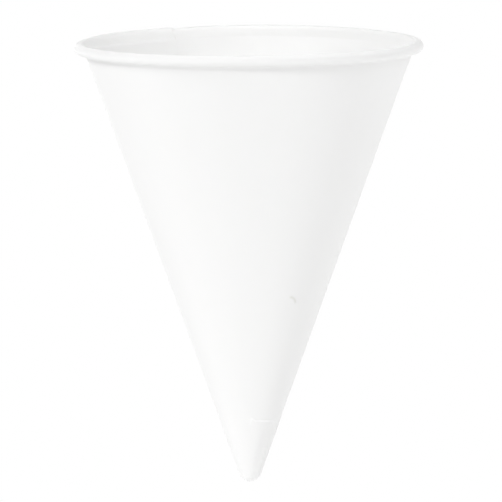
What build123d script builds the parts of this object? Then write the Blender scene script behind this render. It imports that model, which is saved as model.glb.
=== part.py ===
from build123d import *
from math import acos, asin, atan2, cos, hypot, radians, sin, tan
import os

# A cone paper cup with a rolled rim, wound from one sheet of paper. Millimetres.
# The cup stands mouth down: +Z runs up its axis from the middle of the mouth to the closed tip,
# and the mouth lies in the plane Z = 0. Angles round the cup are in degrees from +X towards +Y.

# Driving dimensions
rim_diameter = 74.0
cup_height = 95.0
paper = 0.25

# The roll of the rim: the sheet curls outwards round an open hollow. The roll is flattened a
# little where it faces the mouth, and its free edge stops short of the wall.
roll_diameter = 2.3
roll_land = 0.5
roll_gap = 0.12

# Inside the cup, a straight band backs the roll, and a pressed shoulder leads from it to the cone
shoulder_step = 0.4
shoulder_height = 0.5

# The rounded tip, where the wound paper is pressed together into a cap with a faint edge
tip_radius = 2.45
tip_press_length = 13.4
tip_press_step = 0.12

# The seam: the sheet's inner edge shows inside the cup, and its outer edge lies outside, one lap
# further round. Beside the inner edge the sheet climbs from the cone onto the ply in front of it.
inner_edge_angle = 62.4
lap_angle = 52.0
climb_angle = 13.0
climb_section_angle = 2.6

# The roll's centre, and how much of the circle the land cuts off
roll_radius = roll_diameter / 2
land_half_angle = asin(roll_land / 2 / roll_radius)
roll_centre_r = rim_diameter / 2 - roll_radius
roll_centre_z = roll_radius * cos(land_half_angle)
band_r = roll_centre_r - roll_radius

# The two corners of the drinking side: band to shoulder, and shoulder to cone
band_top_z = roll_centre_z + roll_radius
shoulder_slope = atan2(shoulder_step, shoulder_height)
cone_start_r = band_r - shoulder_step
cone_start_z = band_top_z + shoulder_height

# The cone's drinking side is tangent to the ball that rounds the tip inside
tip_ball_z = cup_height - tip_radius
tip_inner_radius = tip_radius - paper - tip_press_step
reach = hypot(cone_start_r, tip_ball_z - cone_start_z)
cone_slope = acos(tip_inner_radius / reach) - atan2(tip_ball_z - cone_start_z, cone_start_r)
press_z = cup_height - tip_press_length


def roll_point(radius, angle):
    """A point (r, z) on a circle about the roll's centre. The angle is in radians from +r."""
    return (roll_centre_r + radius * cos(angle), roll_centre_z + radius * sin(angle))


def corner(point, depth, slope_below, slope_above):
    """Where two straight stretches that meet at a point still meet when both lie depth deeper.

    Depth is measured outwards, square to the drinking side. A slope is the stretch's lean
    inwards from upright, in radians.
    """
    across = cos(slope_below) + cos(slope_above)
    along = sin(slope_below) + sin(slope_above)
    share = depth / (1 + cos(slope_above - slope_below))
    return (point[0] + share * across, point[1] + share * along)


def cone_point(depth, z):
    """The point (r, z) of the cone, depth behind the drinking side."""
    radius = cone_start_r + depth / cos(cone_slope) - (z - cone_start_z) * tan(cone_slope)
    return (radius, z)


def roll_arc(depth, start, end, facets):
    """Points round the roll at one depth of the sheet, from one angle to another.

    The roll is drawn with short chords, because round so small a tube and so wide a rim
    truly curved faces would take most of the triangles of a mesh.
    """
    radius = roll_radius - depth
    return [roll_point(radius, start + (end - start) * n / facets) for n in range(facets + 1)]


def front_roll(depth, free_edge):
    """The drinking side's way round the roll, with the land as the chord facing the mouth."""
    inner, bottom, outer = radians(180), radians(270), radians(360)
    return [
        *roll_arc(depth, inner, bottom - land_half_angle, facets=4),
        *roll_arc(depth, bottom + land_half_angle, outer, facets=4),
        *roll_arc(depth, outer, outer + free_edge, facets=6)[1:],
    ]


def back_roll(depth, free_edge):
    """The hidden side's way round the roll's hollow, which takes longer chords."""
    return roll_arc(depth, radians(180), radians(360) + free_edge, facets=8)


def wall(depth):
    """The wall at one depth of the sheet, as points from the pressed tip down to the band."""
    return [
        cone_point(depth, press_z),
        corner((cone_start_r, cone_start_z), depth, shoulder_slope, cone_slope),
        corner((band_r, band_top_z), depth, 0, shoulder_slope),
    ]


def sheet_section(front, back):
    """The sheet's section between two depths, from the pressed tip to the roll's free edge.

    The free edge stops roll_gap outside the back of the wall beside it.
    """
    edge_reach = band_r + back + roll_gap - roll_centre_r
    free_edge = acos(edge_reach / roll_radius)
    front_side = wall(front) + front_roll(front, free_edge)
    back_side = wall(back) + back_roll(back, free_edge)
    outline = Polyline(*front_side, *reversed(back_side), close=True)
    return Plane.XZ * make_face(outline)


def wound(front, back, start, end):
    """The sheet between two depths, wound about the axis from one angle to another."""
    turned = revolve(sheet_section(front, back), Axis.Z, end - start)
    return turned.rotate(Axis.Z, start)


def climb(start, end):
    """The sheet as it climbs by its own thickness, from lying on the cone to lying on a ply."""
    sections = []
    steps = max(3, round((start - end) / climb_section_angle))
    for step in range(steps + 1):
        share = step / steps
        rise = paper * share * share * (3 - 2 * share)
        section = sheet_section(rise, rise + paper)
        sections.append(section.rotate(Axis.Z, start + (end - start) * share))
    return loft(sections, ruled=True)


def ball_arc(radius):
    """The arc of the tip's rounded end at one radius, from the cone to the axis."""
    angles = (cone_slope, (cone_slope + radians(90)) / 2, radians(90))
    return ThreePointArc(*[(radius * cos(a), tip_ball_z + radius * sin(a)) for a in angles])


def pressed_tip():
    """The closed tip: a cap of pressed paper with a rounded end, a little thicker than the ply."""
    inner_start = cone_point(0, press_z)
    outer_start = cone_point(paper + tip_press_step, press_z)
    inner_arc = ball_arc(tip_inner_radius)
    outer_arc = ball_arc(tip_radius)
    edges = [
        Line(inner_start, inner_arc @ 0),
        inner_arc,
        Line(inner_arc @ 1, outer_arc @ 1),
        outer_arc,
        Line(outer_arc @ 0, outer_start),
        Line(outer_start, inner_start),
    ]
    return revolve(Plane.XZ * make_face(edges), Axis.Z)


def cone_cup():
    """The whole cup: one ply, two plies over the lap, the climb beside the inner edge, the tip."""
    outer_edge_angle = inner_edge_angle - lap_angle
    climb_start_angle = inner_edge_angle + climb_angle
    single_ply = wound(0, paper, climb_start_angle, outer_edge_angle + 360)
    double_ply = wound(0, 2 * paper, outer_edge_angle, inner_edge_angle)
    climbing_ply = climb(climb_start_angle, inner_edge_angle)
    return single_ply + double_ply + climbing_ply + pressed_tip()


os.makedirs("parts", exist_ok=True)
export_step(cone_cup(), "parts/cone_cup.step")
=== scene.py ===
import bpy
import numpy as np
from math import acos, asin, atan2, cos, hypot, pi, radians, sin, tan
from mathutils import Matrix, Vector


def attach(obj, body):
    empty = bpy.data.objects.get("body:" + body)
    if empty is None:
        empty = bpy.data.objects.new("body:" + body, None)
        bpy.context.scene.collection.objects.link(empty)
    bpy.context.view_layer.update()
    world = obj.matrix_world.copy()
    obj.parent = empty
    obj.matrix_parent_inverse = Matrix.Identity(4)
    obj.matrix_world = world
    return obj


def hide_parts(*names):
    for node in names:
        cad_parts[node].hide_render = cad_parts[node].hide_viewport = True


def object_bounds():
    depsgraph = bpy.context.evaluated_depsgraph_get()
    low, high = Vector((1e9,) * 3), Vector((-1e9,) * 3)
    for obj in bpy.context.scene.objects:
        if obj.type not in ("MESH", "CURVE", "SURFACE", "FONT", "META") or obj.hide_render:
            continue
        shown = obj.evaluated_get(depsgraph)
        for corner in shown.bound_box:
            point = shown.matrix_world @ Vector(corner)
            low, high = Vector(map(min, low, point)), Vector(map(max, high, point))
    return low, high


# A white cone paper cup with a rolled rim. It stands mouth down on the plane z = 0, with its tip up
# and its axis along z. The photograph shows it the other way up: its left is +x, its top is -z and
# its front is -y. Lengths are in millimetres, until MM turns them into the scene's metres. Angles
# round the cup are in degrees from +x towards +y.

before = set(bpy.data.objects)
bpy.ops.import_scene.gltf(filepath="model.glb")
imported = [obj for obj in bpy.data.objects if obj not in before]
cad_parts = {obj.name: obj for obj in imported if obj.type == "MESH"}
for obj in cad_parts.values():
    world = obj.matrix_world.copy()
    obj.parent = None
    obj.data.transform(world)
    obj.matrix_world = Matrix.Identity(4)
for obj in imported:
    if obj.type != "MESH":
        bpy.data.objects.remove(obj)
cad_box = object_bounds()
MM = 0.001

# The sheet, the roll of the rim and the shoulder inside it, with the radii of the shoulder's bends
rim_radius = -cad_box[0].y / MM
cup_height = cad_box[1].z / MM
paper = 0.25
roll_radius = 1.15
roll_land = 0.5
roll_gap = 0.12
shoulder_step = 0.4
shoulder_height = 0.5
shoulder_bends = (0.3, 0.8)

# The seam: where the sheet's free edges lie inside and outside the cup. Beside the inner edge the
# sheet climbs by its own thickness, and the climb fades out below the pressed tip.
inner_edge_angle = 62.4
outer_edge_angle = 10.4
edge_width_angle = 0.04
climb_angle = 13.0
climb_fade_height = 6.0

# The inner edge curls outwards on the band and is pressed down softly on the cone
edge_curl = 0.12
edge_curl_angle = 1.4
edge_press = 0.18
edge_press_angle = 5.0

# Beside the inner edge the band flares inwards a little, from a foot near the mouth. The flare
# fades out between two angles past the edge.
band_flare = 0.2
flare_foot = 1.0
flare_fade = (120.0, 90.0)

# The pressed tip, its ledge, and the flat fold to the right of the front, whose left edge runs
# from one angle at the ledge to another at the tip's end
tip_radius = 2.45
tip_press_length = 13.4
tip_press_step = 0.12
ledge_height = 0.55
ledge_fade_height = 5.0
ledge_ends = (196.0, 232.0, 266.0, 272.0)
ledge_path_angles = (205.0, 260.0, 268.0)
ledge_path_lifts = (0.3, 0.95, 1.5)
fold_angles = (250.0, 268.0)
fold_half_width = 24.0
fold_cut = 0.047
fold_fade_height = 3.0

# The paper cone leans a little to the side of the photograph's left, as a shift of its tip
tip_shift = 0.45

# The rim isn't quite flat: at the photograph's left and right it lies a little nearer to the tip
rim_lift = 0.3
rim_lift_height = 12.0

# A small dent on the front of the wall, pressed in along an arc that bulges up and to the
# right of the photograph, with a low lip on its other side. Its arc is also painted darker, as
# painted shade in the groove. The arc fades out over a share of its half angle at each end. The
# lip's height is a share of the dent's depth, and its width and place are in widths of the dent.
dent_angle = 235.7
dent_z = 53.42
dent_reach = 1.6
dent_arc_radius = 1.6
dent_arc_middle = 49.0
dent_arc_half = 42.0
dent_arc_fade = 0.3
dent_width = 0.29
dent_depth = 0.05
dent_lip = 0.4
dent_lip_width = 1.4
dent_lip_offset = 1.7

# Waves round the cup, each as its height, how many make a turn, and its phase in radians. Those of
# the wall fade out between two heights at each end, and its lobes twist by radians a millimetre.
wall_oval = (0.07, 2, 0.6)
wall_lobes = (0.035, 5, 2.1)
wall_twist = 0.006
wall_wave_start = (4.0, 26.0)
wall_wave_end = (84.0, 50.0)
roll_slow_waves = ((0.02, 3, 0.5), (0.012, 11, 1.7))
roll_fine_waves = ((0.006, 67, 0.0), (0.006, 101, 2.0))
roll_wave_fade = 0.5

# The roll's fine waves are strongest in a crinkle at the photograph's right
crinkle_angle = 186.0
crinkle_width = 14.0
crinkle_gain = 3.0

# The mesh's columns: the gaps between them in degrees, and how far the closer ones reach
column_gap = 1.0
edge_column_gap = 0.2
press_column_gap = 0.6
ledge_column_gap = 0.5
ledge_column_reach = (4.0, 3.0)
dent_column_gap = 0.35
dent_column_reach = 7.0

# The mesh's rows: the gaps between them, and where those change. A pair is for the drinking side
# and the outer side, apart from the ledge's, which is how far below and above it the rows are close.
band_row_gap = 0.3
shoulder_row_gaps = (0.14, 0.2)
wall_row_gaps = (3.2, 2.4)
tip_row_gaps = (1.5, 0.7)
fine_row_gap = 0.1
band_row_margin = 0.2
shoulder_rows_top = 3.8
ledge_row_reach = (1.8, 0.4)
tip_row_ends = (4.0, 3.2)
ball_rows = 12
roll_rows = (30, 16)

# Faces that meet at more than this angle have a crisp edge
crisp_angle = 32.0

# The paper's finish. Scales are in features to the metre.
paper_roughness = 0.75
paper_specular = 0.1
cloud_colours = ((0.925, 0.925, 0.920, 1), (0.935, 0.935, 0.932, 1))
cloud_scale = 320
cloud_detail = 4
fibre_scale = 2600
fibre_detail = 3
fibre_strength = 0.25
fibre_relief = 0.03
# Colours by mesh attribute: the cut edges' own warm colour, painted shade in the dent's groove and a
# painted highlight along the ledge
edge_and_painted_light_colours = {
    "cut_edge": (0.86, 0.84, 0.80, 1),
    "dent_and_painted_shade": (0.82, 0.82, 0.79, 1),
    "painted_ledge_highlight": (0.98, 0.98, 0.98, 1),
}

# The floor: its colour in the open, the colour and reach of painted shade close under the cup, and
# where it fades to white
floor_half_width = 2000.0
floor_colour = (0.82, 0.82, 0.82, 1)
floor_painted_shade_colour = (0.45, 0.45, 0.45, 1)
floor_painted_shade_reach = 30.0
floor_fade = (60.0, 500.0)

# The lamps' distance from the cup
lamp_distance = 600.0

# The camera, as fitted to the photograph
photo_size = 502
camera_distance = 1000.0
camera_reach = 10000.0
camera_drop = 7.9
camera_roll = -0.45
camera_target_z = 46.8
focal_pixels = 4690.0
target_pixel = (250.65, 258.6)


def smooth(share):
    """A share from 0 to 1, eased at both ends. What lies outside is cut to 0 or 1."""
    share = np.clip(share, 0, 1)
    return share * share * (3 - 2 * share)


def ramp(value, start, end):
    """0 where value is at start, 1 where it is at end, and eased between them."""
    return smooth((value - start) / (end - start))


def turn_from(angle, reference):
    """How far an angle lies round from another, in degrees from -180 to 180."""
    return (angle - reference + 180) % 360 - 180


def wave(turn, height, count, phase):
    """A wave round the cup, at turns in radians."""
    return height * np.sin(count * turn + phase)


# Sizes that follow from the ones above
roll_centre_r = rim_radius - roll_radius
roll_centre_z = roll_radius * cos(asin(roll_land / 2 / roll_radius))
band_r = roll_centre_r - roll_radius
band_top_z = roll_centre_z + roll_radius
shoulder_slope = atan2(shoulder_step, shoulder_height)
tip_ball_z = cup_height - tip_radius
tip_inner_radius = tip_radius - paper - tip_press_step
cone_run = band_r - shoulder_step
cone_start_z = band_top_z + shoulder_height
cone_rise = tip_ball_z - cone_start_z
cone_reach = hypot(cone_run, cone_rise)
cone_slope = acos(tip_inner_radius / cone_reach) - atan2(cone_rise, cone_run)
press_z = cup_height - tip_press_length


class Section:
    """The drinking side of the sheet in section, as a path from the roll to the closed tip.

    Stations along it are lengths in millimetres from where the band leaves the roll: negative
    round the roll, and positive up the band, over the shoulder and up the cone to the axis.
    """

    step = 0.01

    def __init__(self):
        # A bend takes the same length off the straight stretches on both sides of it
        bend_1, bend_2 = shoulder_bends
        cut_1 = bend_1 * tan(shoulder_slope / 2)
        cut_2 = bend_2 * tan((shoulder_slope - cone_slope) / 2)
        cone_length = cone_reach * sin(acos(tip_inner_radius / cone_reach))

        # Each stretch is its length, and the sheet's lean from upright at its end
        stretches = [
            (roll_radius - cut_1, 0),
            (bend_1 * shoulder_slope, shoulder_slope),
            (hypot(shoulder_step, shoulder_height) - cut_1 - cut_2, shoulder_slope),
            (bend_2 * (shoulder_slope - cone_slope), cone_slope),
            (cone_length - cut_2, cone_slope),
            (tip_inner_radius * (pi / 2 - cone_slope), pi / 2),
        ]
        stops = np.cumsum([0] + [length for length, lean in stretches])
        self.length = stops[-1]
        self.stations = np.arange(0, self.length + self.step, self.step)
        self.lean = np.interp(self.stations, stops, [0] + [lean for length, lean in stretches])
        middle_lean = (self.lean[1:] + self.lean[:-1]) / 2
        self.r = band_r - np.append(0, np.cumsum(np.sin(middle_lean))) * self.step
        self.z = roll_centre_z + np.append(0, np.cumsum(np.cos(middle_lean))) * self.step

    def station_at(self, z):
        """The station on the wall at a height."""
        return np.interp(z, self.z, self.stations)

    def places(self, station):
        """Radius, height, and the two parts of the direction into the sheet, at stations."""
        lean = np.interp(station, self.stations, self.lean)
        turn = pi + np.maximum(-station, 0) / roll_radius
        on_roll = station < 0
        roll_z = roll_centre_z + roll_radius * np.sin(turn)
        r = np.where(on_roll, roll_centre_r + roll_radius * np.cos(turn),
                     np.interp(station, self.stations, self.r))
        z = np.where(on_roll, np.maximum(roll_z, 0), np.interp(station, self.stations, self.z))
        into_r = np.where(on_roll, -np.cos(turn), np.cos(lean))
        into_z = np.where(on_roll, -np.sin(turn), np.sin(lean))
        return r, z, into_r, into_z


def column_angles():
    """Angles of the mesh's columns, which are closer at the edges, the ledge's hook and the dent."""
    half_edge = edge_width_angle / 2
    angles = list(np.arange(0, 360, column_gap))
    for edge in (inner_edge_angle, outer_edge_angle):
        angles += [edge - half_edge, edge + half_edge]
    angles += [inner_edge_angle + edge_column_gap]
    angles += list(inner_edge_angle - np.arange(edge_column_gap, edge_curl_angle, edge_column_gap))
    angles += list(inner_edge_angle - np.arange(edge_curl_angle, edge_press_angle, press_column_gap))
    hook_start = ledge_ends[2] - ledge_column_reach[0]
    hook_end = ledge_ends[3] + ledge_column_reach[1]
    angles += list(np.arange(hook_start, hook_end, ledge_column_gap))
    dent_start = dent_angle - dent_column_reach
    dent_end = dent_angle + dent_column_reach
    angles += list(np.arange(dent_start, dent_end, dent_column_gap))
    return np.unique(np.round(angles, 4))


def wall_stations(section, breaks):
    """Stations up the wall. Each break is a height, and the gap between stations up to it."""
    heights = [roll_centre_z]
    for top, gap in breaks:
        count = max(1, round((top - heights[-1]) / gap))
        heights += list(np.linspace(heights[-1], top, count + 1)[1:])
    return section.station_at(np.array(heights))


def row_marks(section):
    """The mesh's rows, and which of them are on the outer side, both as columns of an array.

    They run from the tip down the drinking side and round the roll to its free edge, and back
    round the roll and up the outer side. A row's mark is its station on the wall, or round the
    roll the share of the way to the free edge, counted downwards from 0.
    """
    front_wall = wall_stations(section, [
        (band_top_z - band_row_margin, band_row_gap),
        (shoulder_rows_top, shoulder_row_gaps[0]),
        (press_z, wall_row_gaps[0]),
        (cup_height - tip_row_ends[0], tip_row_gaps[0]),
    ])
    back_wall = wall_stations(section, [
        (shoulder_rows_top, shoulder_row_gaps[1]),
        (dent_z - dent_reach, wall_row_gaps[1]),
        (dent_z + dent_reach, fine_row_gap),
        (press_z - ledge_row_reach[0], wall_row_gaps[1]),
        (press_z + ledge_row_reach[1], fine_row_gap),
        (cup_height - tip_row_ends[1], tip_row_gaps[1]),
    ])
    ball_start = section.station_at(cup_height - tip_row_ends[1])
    ball = np.linspace(ball_start, section.length, ball_rows + 2)[1:-1]
    front_roll = np.linspace(0, -1, roll_rows[0] + 1)[1:]
    back_roll = np.linspace(-1, 0, roll_rows[1] + 1)[:-1]
    front = [*reversed([*front_wall, *ball]), *front_roll]
    back = [*back_roll, *back_wall, *ball]
    on_back = np.repeat([False, True], [len(front), len(back)])
    return np.array(front + back)[:, None], on_back[:, None]


def inside_depth(angle):
    """Depth of the sheet's drinking side below the inner ply: it climbs beside the inner edge."""
    past_edge = turn_from(angle, inner_edge_angle)
    return np.where(past_edge > 0, paper * (1 - smooth(past_edge / climb_angle)), 0)


def outside_depth(angle):
    """Depth of the sheet's outer side, with two plies between the outer and the inner edge."""
    lap = inner_edge_angle - outer_edge_angle
    past_outer = turn_from(angle, outer_edge_angle)
    in_lap = (past_outer > 0) & (past_outer <= lap)
    return np.where(in_lap, 2 * paper, paper + inside_depth(angle))


def curl(angle, z):
    """How far the inner edge bends outwards, as depth: tightly on the band, softly on the cone."""
    past_edge = turn_from(angle, inner_edge_angle)
    on_cone = ramp(z, band_top_z, cone_start_z)
    depth = edge_curl + (edge_press - edge_curl) * on_cone
    width = edge_curl_angle + (edge_press_angle - edge_curl_angle) * on_cone
    return depth * (past_edge <= 0) * ramp(past_edge, -width, 0)


def flare(angle, z):
    """How far the band stands inwards beside the inner edge, where its single ply flares."""
    past_edge = turn_from(angle, inner_edge_angle)
    beside = (past_edge > 0) * ramp(past_edge, *flare_fade)
    return band_flare * beside * np.interp(z, [flare_foot, band_top_z, cone_start_z], [0, 1, 0])


def ledge(angle):
    """How crisp the ledge is, which it is only beside the fold, and how far it lies to the mouth."""
    fade_in, crisp_from, crisp_to, fade_out = ledge_ends
    crisp = ramp(angle, fade_in, crisp_from) * ramp(angle, fade_out, crisp_to)
    return crisp, crisp * np.interp(angle, ledge_path_angles, ledge_path_lifts)


def pressed_share(angle, z):
    """0 below the pressed tip and 1 in it, with a half at the ledge."""
    crisp, lift = ledge(angle)
    height = ledge_fade_height + (ledge_height - ledge_fade_height) * crisp
    return smooth((z - press_z + lift) / height + 0.5)


def tip_depth(angle, z, radius):
    """Depth of the outer side in the pressed tip, which the fold flattens beside the front."""
    fold_angle = np.interp(z, [press_z, cup_height - tip_radius], fold_angles)
    past_middle = abs(turn_from(angle, fold_angle - fold_half_width))
    flat = fold_cut * radius * smooth(1 - past_middle / fold_half_width)
    return paper + tip_press_step - flat * ramp(z, press_z, press_z + fold_fade_height)


def dent_share(angle, z, radius):
    """How much of the mark's depth a place on the wall has: 1 in its arc, and below 0 on its lip."""
    middle = radians(dent_arc_middle)
    right = dent_arc_radius * cos(middle) - radius * np.radians(turn_from(angle, dent_angle))
    up = dent_arc_radius * sin(middle) + dent_z - z
    off_arc = np.hypot(right, up) - dent_arc_radius
    along = np.degrees(np.arctan2(up, right)) - dent_arc_middle
    ends = ramp(abs(along), dent_arc_half * (1 + dent_arc_fade), dent_arc_half * (1 - dent_arc_fade))
    arc = np.exp(-((off_arc / dent_width) ** 2))
    lip = np.exp(-((off_arc / dent_width / dent_lip_width + dent_lip_offset) ** 2))
    return (arc - dent_lip * lip) * ends


def wall_wave(angle, z):
    """Slow waves of the wall, which is paper and never quite round, as a shift outwards."""
    free = ramp(z, *wall_wave_start) * ramp(z, *wall_wave_end)
    turn = np.radians(angle)
    return free * (wave(turn, *wall_oval) + wave(turn - wall_twist * z, *wall_lobes))


def roll_wave(angle):
    """Slight unevenness of the roll as a change of its radius, strongest in the crinkle."""
    turn = np.radians(angle)
    slow = sum(wave(turn, *part) for part in roll_slow_waves)
    fine = sum(wave(turn, *part) for part in roll_fine_waves)
    crinkle = np.exp(-((turn_from(angle, crinkle_angle) / crinkle_width) ** 2))
    return slow + fine * (1 + crinkle_gain * crinkle)


def cup_mesh():
    """The whole cup as one closed grid: round its section in rows, and round its axis in columns."""
    section = Section()
    angle = column_angles()
    mark, on_back = row_marks(section)

    # The way round the roll is shorter where its free edge stands outside two plies
    edge_reach = band_r + outside_depth(angle) + roll_gap - roll_centre_r
    roll_length = roll_radius * (pi + np.arccos(edge_reach / roll_radius))
    station = np.where(mark < 0, mark * roll_length, mark)
    r, z, into_r, into_z = section.places(station)

    # The dent's painted shade and the ledge's painted highlight lie on the outer side, as shares for
    # the material
    pressed = pressed_share(angle, z)
    dent_and_painted_shade = dent_share(angle, z, r) * on_back
    painted_ledge_highlight = 4 * pressed * (1 - pressed) * ledge(angle)[0] * on_back

    back_depth = outside_depth(angle) * (1 - pressed) + tip_depth(angle, z, r) * pressed
    back_depth = back_depth - dent_depth * dent_and_painted_shade
    climb = inside_depth(angle) * ramp(z, press_z, press_z - climb_fade_height)
    front_depth = climb + curl(angle, z)
    depth = np.where(on_back, back_depth, front_depth) - flare(angle, z) * (station > 0)
    on_roll = ramp(station, roll_wave_fade, -roll_wave_fade)
    depth = depth + wall_wave(angle, z) - roll_wave(angle) * on_roll
    r, z = r + depth * into_r, np.maximum(z + depth * into_z, 0)

    turn = np.radians(angle)
    shift = tip_shift * z / cup_height
    z = z + rim_lift * (1 + np.cos(2 * turn)) / 2 * ramp(z, rim_lift_height, 0)
    grid = np.stack([r * np.cos(turn) + shift, r * np.sin(turn), z], axis=-1)
    poles = [(tip_shift, 0, tip_ball_z + tip_inner_radius), (tip_shift, 0, cup_height)]
    return grid, poles, on_back[:, 0], angle, {"dent_and_painted_shade": dent_and_painted_shade, "painted_ledge_highlight": painted_ledge_highlight}


def build_cup():
    """Makes the cup's object from its grid, with its cut edges marked for the material."""
    grid, poles, on_back, angle, painted_light_shares = cup_mesh()
    rows, columns = grid.shape[:2]
    points = np.concatenate([grid.reshape(-1, 3), poles]) * MM
    inner_pole, outer_pole = len(points) - 2, len(points) - 1
    index = np.arange(rows * columns).reshape(rows, columns)
    after = np.roll(index, -1, axis=1)
    quads = np.stack([index[:-1], after[:-1], after[1:], index[1:]], axis=-1).reshape(-1, 4)
    inner_fan = [(inner_pole, b, a) for a, b in zip(index[0], after[0])]
    outer_fan = [(outer_pole, a, b) for a, b in zip(index[-1], after[-1])]
    mesh = bpy.data.meshes.new("paper_cup")
    mesh.from_pydata(points.tolist(), [], quads.tolist() + inner_fan + outer_fan)

    # Faces across the free edges of the sheet: at the roll's end, inside and outside the cup
    row_back = on_back[:-1] & on_back[1:]
    row_front = ~on_back[:-1] & ~on_back[1:]
    row_between = ~row_back & ~row_front
    middle = (angle + np.roll(angle, -1)) / 2
    at_inner = abs(turn_from(middle, inner_edge_angle)) < edge_width_angle / 2
    at_outer = abs(turn_from(middle, outer_edge_angle)) < edge_width_angle / 2
    cut = row_between[:, None] | np.outer(row_front, at_inner) | np.outer(row_back, at_outer)
    cut_faces = np.append(cut.ravel(), np.zeros(len(inner_fan) + len(outer_fan)))
    layer = mesh.attributes.new("cut_edge", "FLOAT", "FACE")
    layer.data.foreach_set("value", cut_faces.astype(np.float32))

    # Shares of painted shade in the dent's groove and of a painted highlight along the ledge, for
    # the material
    for name, share in painted_light_shares.items():
        layer = mesh.attributes.new(name, "FLOAT", "POINT")
        layer.data.foreach_set("value", np.append(share.ravel(), (0, 0)).astype(np.float32))

    mesh.validate()
    mesh.update()
    mesh.shade_smooth()
    mesh.set_sharp_from_angle(angle=radians(crisp_angle))
    cup = bpy.data.objects.new("paper_cup", mesh)
    bpy.context.scene.collection.objects.link(cup)
    return cup


def new_material(name):
    """An empty node material, with its nodes and links."""
    material = bpy.data.materials.new(name)
    material.use_nodes = True
    nodes, links = material.node_tree.nodes, material.node_tree.links
    nodes.clear()
    return material, nodes, links


def noise(nodes, links, vector, scale, detail):
    """A noise texture's value. The scale is in features to the metre."""
    texture = nodes.new("ShaderNodeTexNoise")
    texture.inputs["Scale"].default_value = scale
    texture.inputs["Detail"].default_value = detail
    links.new(vector, texture.inputs["Vector"])
    return texture.outputs["Fac"]


def colour_mix(nodes, links, share, second):
    """A mix towards a second colour by a share, whose first colour is still to be set."""
    mix = nodes.new("ShaderNodeMix")
    mix.data_type = "RGBA"
    mix.inputs["B"].default_value = second
    links.new(share, mix.inputs["Factor"])
    return mix


def white_paper():
    """Matt white cup paper: cloudy at a few millimetres, fibrous close up, warm on its cut edges,
    with painted shade in the dent's groove and a painted highlight along the ledge.
    """
    material, nodes, links = new_material("white_paper")
    shader = nodes.new("ShaderNodeBsdfPrincipled")
    shader.inputs["Roughness"].default_value = paper_roughness
    shader.inputs["Specular IOR Level"].default_value = paper_specular
    output = nodes.new("ShaderNodeOutputMaterial")
    links.new(shader.outputs["BSDF"], output.inputs["Surface"])
    place = nodes.new("ShaderNodeTexCoord").outputs["Object"]

    cloudiness = noise(nodes, links, place, cloud_scale, cloud_detail)
    clouds = colour_mix(nodes, links, cloudiness, cloud_colours[1])
    clouds.inputs["A"].default_value = cloud_colours[0]
    colour = clouds.outputs["Result"]
    # The cut edges get their own warm colour, the dent's groove painted shade and the ledge a
    # painted highlight
    for name, marked_colour in edge_and_painted_light_colours.items():
        share = nodes.new("ShaderNodeAttribute")
        share.attribute_name = name
        marked = colour_mix(nodes, links, share.outputs["Fac"], marked_colour)
        links.new(colour, marked.inputs["A"])
        colour = marked.outputs["Result"]
    links.new(colour, shader.inputs["Base Color"])

    fibres = nodes.new("ShaderNodeBump")
    fibres.inputs["Strength"].default_value = fibre_strength
    fibres.inputs["Distance"].default_value = fibre_relief * MM
    links.new(noise(nodes, links, place, fibre_scale, fibre_detail), fibres.inputs["Height"])
    links.new(fibres.outputs["Normal"], shader.inputs["Normal"])
    return material


def floor_with_painted_shade(nodes, links):
    """The floor's surface, with painted shade that darkens it close under the cup."""
    paint = nodes.new("ShaderNodeBsdfDiffuse")
    near = nodes.new("ShaderNodeAmbientOcclusion")
    near.inputs["Distance"].default_value = floor_painted_shade_reach * MM
    shade = colour_mix(nodes, links, near.outputs["AO"], floor_colour)
    shade.inputs["A"].default_value = floor_painted_shade_colour
    links.new(shade.outputs["Result"], paint.inputs["Color"])
    return paint.outputs["BSDF"]


def floor_distance_share(nodes, links):
    """0 near the cup and 1 far off, between the floor's two fade distances."""
    place = nodes.new("ShaderNodeTexCoord").outputs["Object"]
    distance = nodes.new("ShaderNodeVectorMath")
    distance.operation = "LENGTH"
    links.new(place, distance.inputs[0])
    far = nodes.new("ShaderNodeMapRange")
    far.interpolation_type = "SMOOTHSTEP"
    far.inputs["From Min"].default_value = floor_fade[0] * MM
    far.inputs["From Max"].default_value = floor_fade[1] * MM
    links.new(distance.outputs["Value"], far.inputs["Value"])
    return far.outputs["Result"]


def white_floor():
    """A pale floor that shows the cup's shadow, fades to white far off and is clear from below."""
    material, nodes, links = new_material("floor")
    white = nodes.new("ShaderNodeEmission")
    fade = nodes.new("ShaderNodeMixShader")
    links.new(floor_distance_share(nodes, links), fade.inputs["Fac"])
    links.new(floor_with_painted_shade(nodes, links), fade.inputs[1])
    links.new(white.outputs["Emission"], fade.inputs[2])
    clear = nodes.new("ShaderNodeBsdfTransparent")
    side = nodes.new("ShaderNodeMixShader")
    links.new(nodes.new("ShaderNodeNewGeometry").outputs["Backfacing"], side.inputs["Fac"])
    links.new(fade.outputs["Shader"], side.inputs[1])
    links.new(clear.outputs["BSDF"], side.inputs[2])
    output = nodes.new("ShaderNodeOutputMaterial")
    links.new(side.outputs["Shader"], output.inputs["Surface"])
    return material


def build_floor():
    """The floor under the mouth. Only the camera sees it, so that light also comes from below it."""
    half = floor_half_width * MM
    corners = [(-half, -half, 0), (half, -half, 0), (half, half, 0), (-half, half, 0)]
    mesh = bpy.data.meshes.new("floor")
    mesh.from_pydata(corners, [], [(0, 1, 2, 3)])
    floor = bpy.data.objects.new("floor", mesh)
    bpy.context.scene.collection.objects.link(floor)
    floor.data.materials.append(white_floor())
    floor.visible_shadow = False
    floor.visible_diffuse = False
    floor.visible_glossy = False


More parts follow.
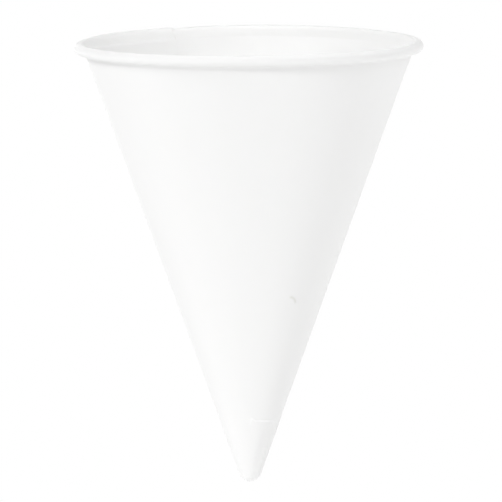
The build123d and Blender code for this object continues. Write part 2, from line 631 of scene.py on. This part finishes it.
def soft_light(name, azimuth, elevation, level, size):
    """A round soft lamp aimed at the cup. Its level is what it adds to a white sheet facing it.

    The azimuth is the direction that the light comes from, in degrees from +x towards +y.
    """
    around, up = radians(azimuth), radians(elevation)
    towards = Vector((cos(up) * cos(around), cos(up) * sin(around), sin(up)))
    distance = lamp_distance * MM
    lamp = bpy.data.lights.new(name, "AREA")
    lamp.shape = "DISK"
    lamp.size = size * MM
    lamp.energy = level * pi ** 2 * distance ** 2
    holder = bpy.data.objects.new(name, lamp)
    holder.location = towards * distance + Vector((0, 0, cup_height / 2 * MM))
    holder.rotation_euler = towards.to_track_quat("Z", "Y").to_euler()
    holder.visible_camera = False
    bpy.context.scene.collection.objects.link(holder)


def light_world(level):
    """Even light from all round at one level, behind which the camera sees plain white."""
    world = bpy.data.worlds.new("studio")
    bpy.context.scene.world = world
    world.use_nodes = True
    nodes, links = world.node_tree.nodes, world.node_tree.links
    nodes.clear()
    even = nodes.new("ShaderNodeBackground")
    even.inputs["Color"].default_value = (1, 1, 1, 1)
    even.inputs["Strength"].default_value = level
    white = nodes.new("ShaderNodeBackground")
    white.inputs["Color"].default_value = (1, 1, 1, 1)
    path = nodes.new("ShaderNodeLightPath")
    seen = path.outputs["Is Camera Ray"]
    for ray in ("Is Glossy Ray", "Is Transmission Ray"):
        either = nodes.new("ShaderNodeMath")
        either.operation = "MAXIMUM"
        links.new(seen, either.inputs[0])
        links.new(path.outputs[ray], either.inputs[1])
        seen = either.outputs["Value"]
    choice = nodes.new("ShaderNodeMixShader")
    links.new(seen, choice.inputs["Fac"])
    links.new(even.outputs["Background"], choice.inputs[1])
    links.new(white.outputs["Background"], choice.inputs[2])
    output = nodes.new("ShaderNodeOutputWorld")
    links.new(choice.outputs["Shader"], output.inputs["Surface"])


def place_camera():
    """The photograph's view: from just below the plane of the mouth, with the camera turned over."""
    drop = radians(camera_drop)
    target = Vector((0, 0, camera_target_z))
    eye = target + camera_distance * Vector((0, -cos(drop), -sin(drop)))
    ahead = (target - eye).normalized()
    right = Vector((-1, 0, 0))
    up = right.cross(ahead)

    # The fit puts the target a little off the picture's middle, and the camera is aimed to match
    pixel = camera_distance / focal_pixels
    off_right = (photo_size / 2 - target_pixel[0]) * pixel
    off_down = (photo_size / 2 - target_pixel[1]) * pixel
    aim = target + off_right * right - off_down * up
    ahead = (aim - eye).normalized()
    right = ahead.cross(up).normalized()
    up = right.cross(ahead)
    level_view = Matrix((right, up, -ahead)).transposed()
    turned = level_view @ Matrix.Rotation(radians(camera_roll), 3, "Z")

    data = bpy.data.cameras.new("photo_view")
    data.lens = data.sensor_width * focal_pixels / photo_size
    data.clip_end = camera_reach * MM
    camera = bpy.data.objects.new("photo_view", data)
    camera.matrix_world = Matrix.Translation(eye * MM) @ turned.to_4x4()
    bpy.context.scene.collection.objects.link(camera)
    bpy.context.scene.camera = camera


cup = build_cup()
cup.data.materials.append(white_paper())
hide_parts("cone_cup")
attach(cup, "root")

build_floor()
light_world(level=0.35)
soft_light("key", azimuth=-60, elevation=-30, level=0.24, size=140)
soft_light("left_front", azimuth=-15, elevation=-35, level=0.205, size=200)
soft_light("inside", azimuth=0, elevation=-60, level=0.135, size=300)
soft_light("right_front", azimuth=-140, elevation=-30, level=0.22, size=300)
soft_light("right_high", azimuth=-165, elevation=-45, level=0.12, size=200)
soft_light("right_rim", azimuth=-150, elevation=-6.5, level=0.075, size=15)
soft_light("right_side", azimuth=-170, elevation=-2, level=0.065, size=40)
soft_light("left_back", azimuth=60, elevation=-4, level=0.27, size=300)
soft_light("front_low", azimuth=-60, elevation=45, level=0.325, size=300)
soft_light("front_deep", azimuth=-75, elevation=62, level=0.14, size=300)
soft_light("left_deep", azimuth=-20, elevation=70, level=0.135, size=300)
soft_light("back", azimuth=135, elevation=25, level=0.32, size=300)
place_camera()

scene = bpy.context.scene
scene.view_settings.view_transform = "Standard"
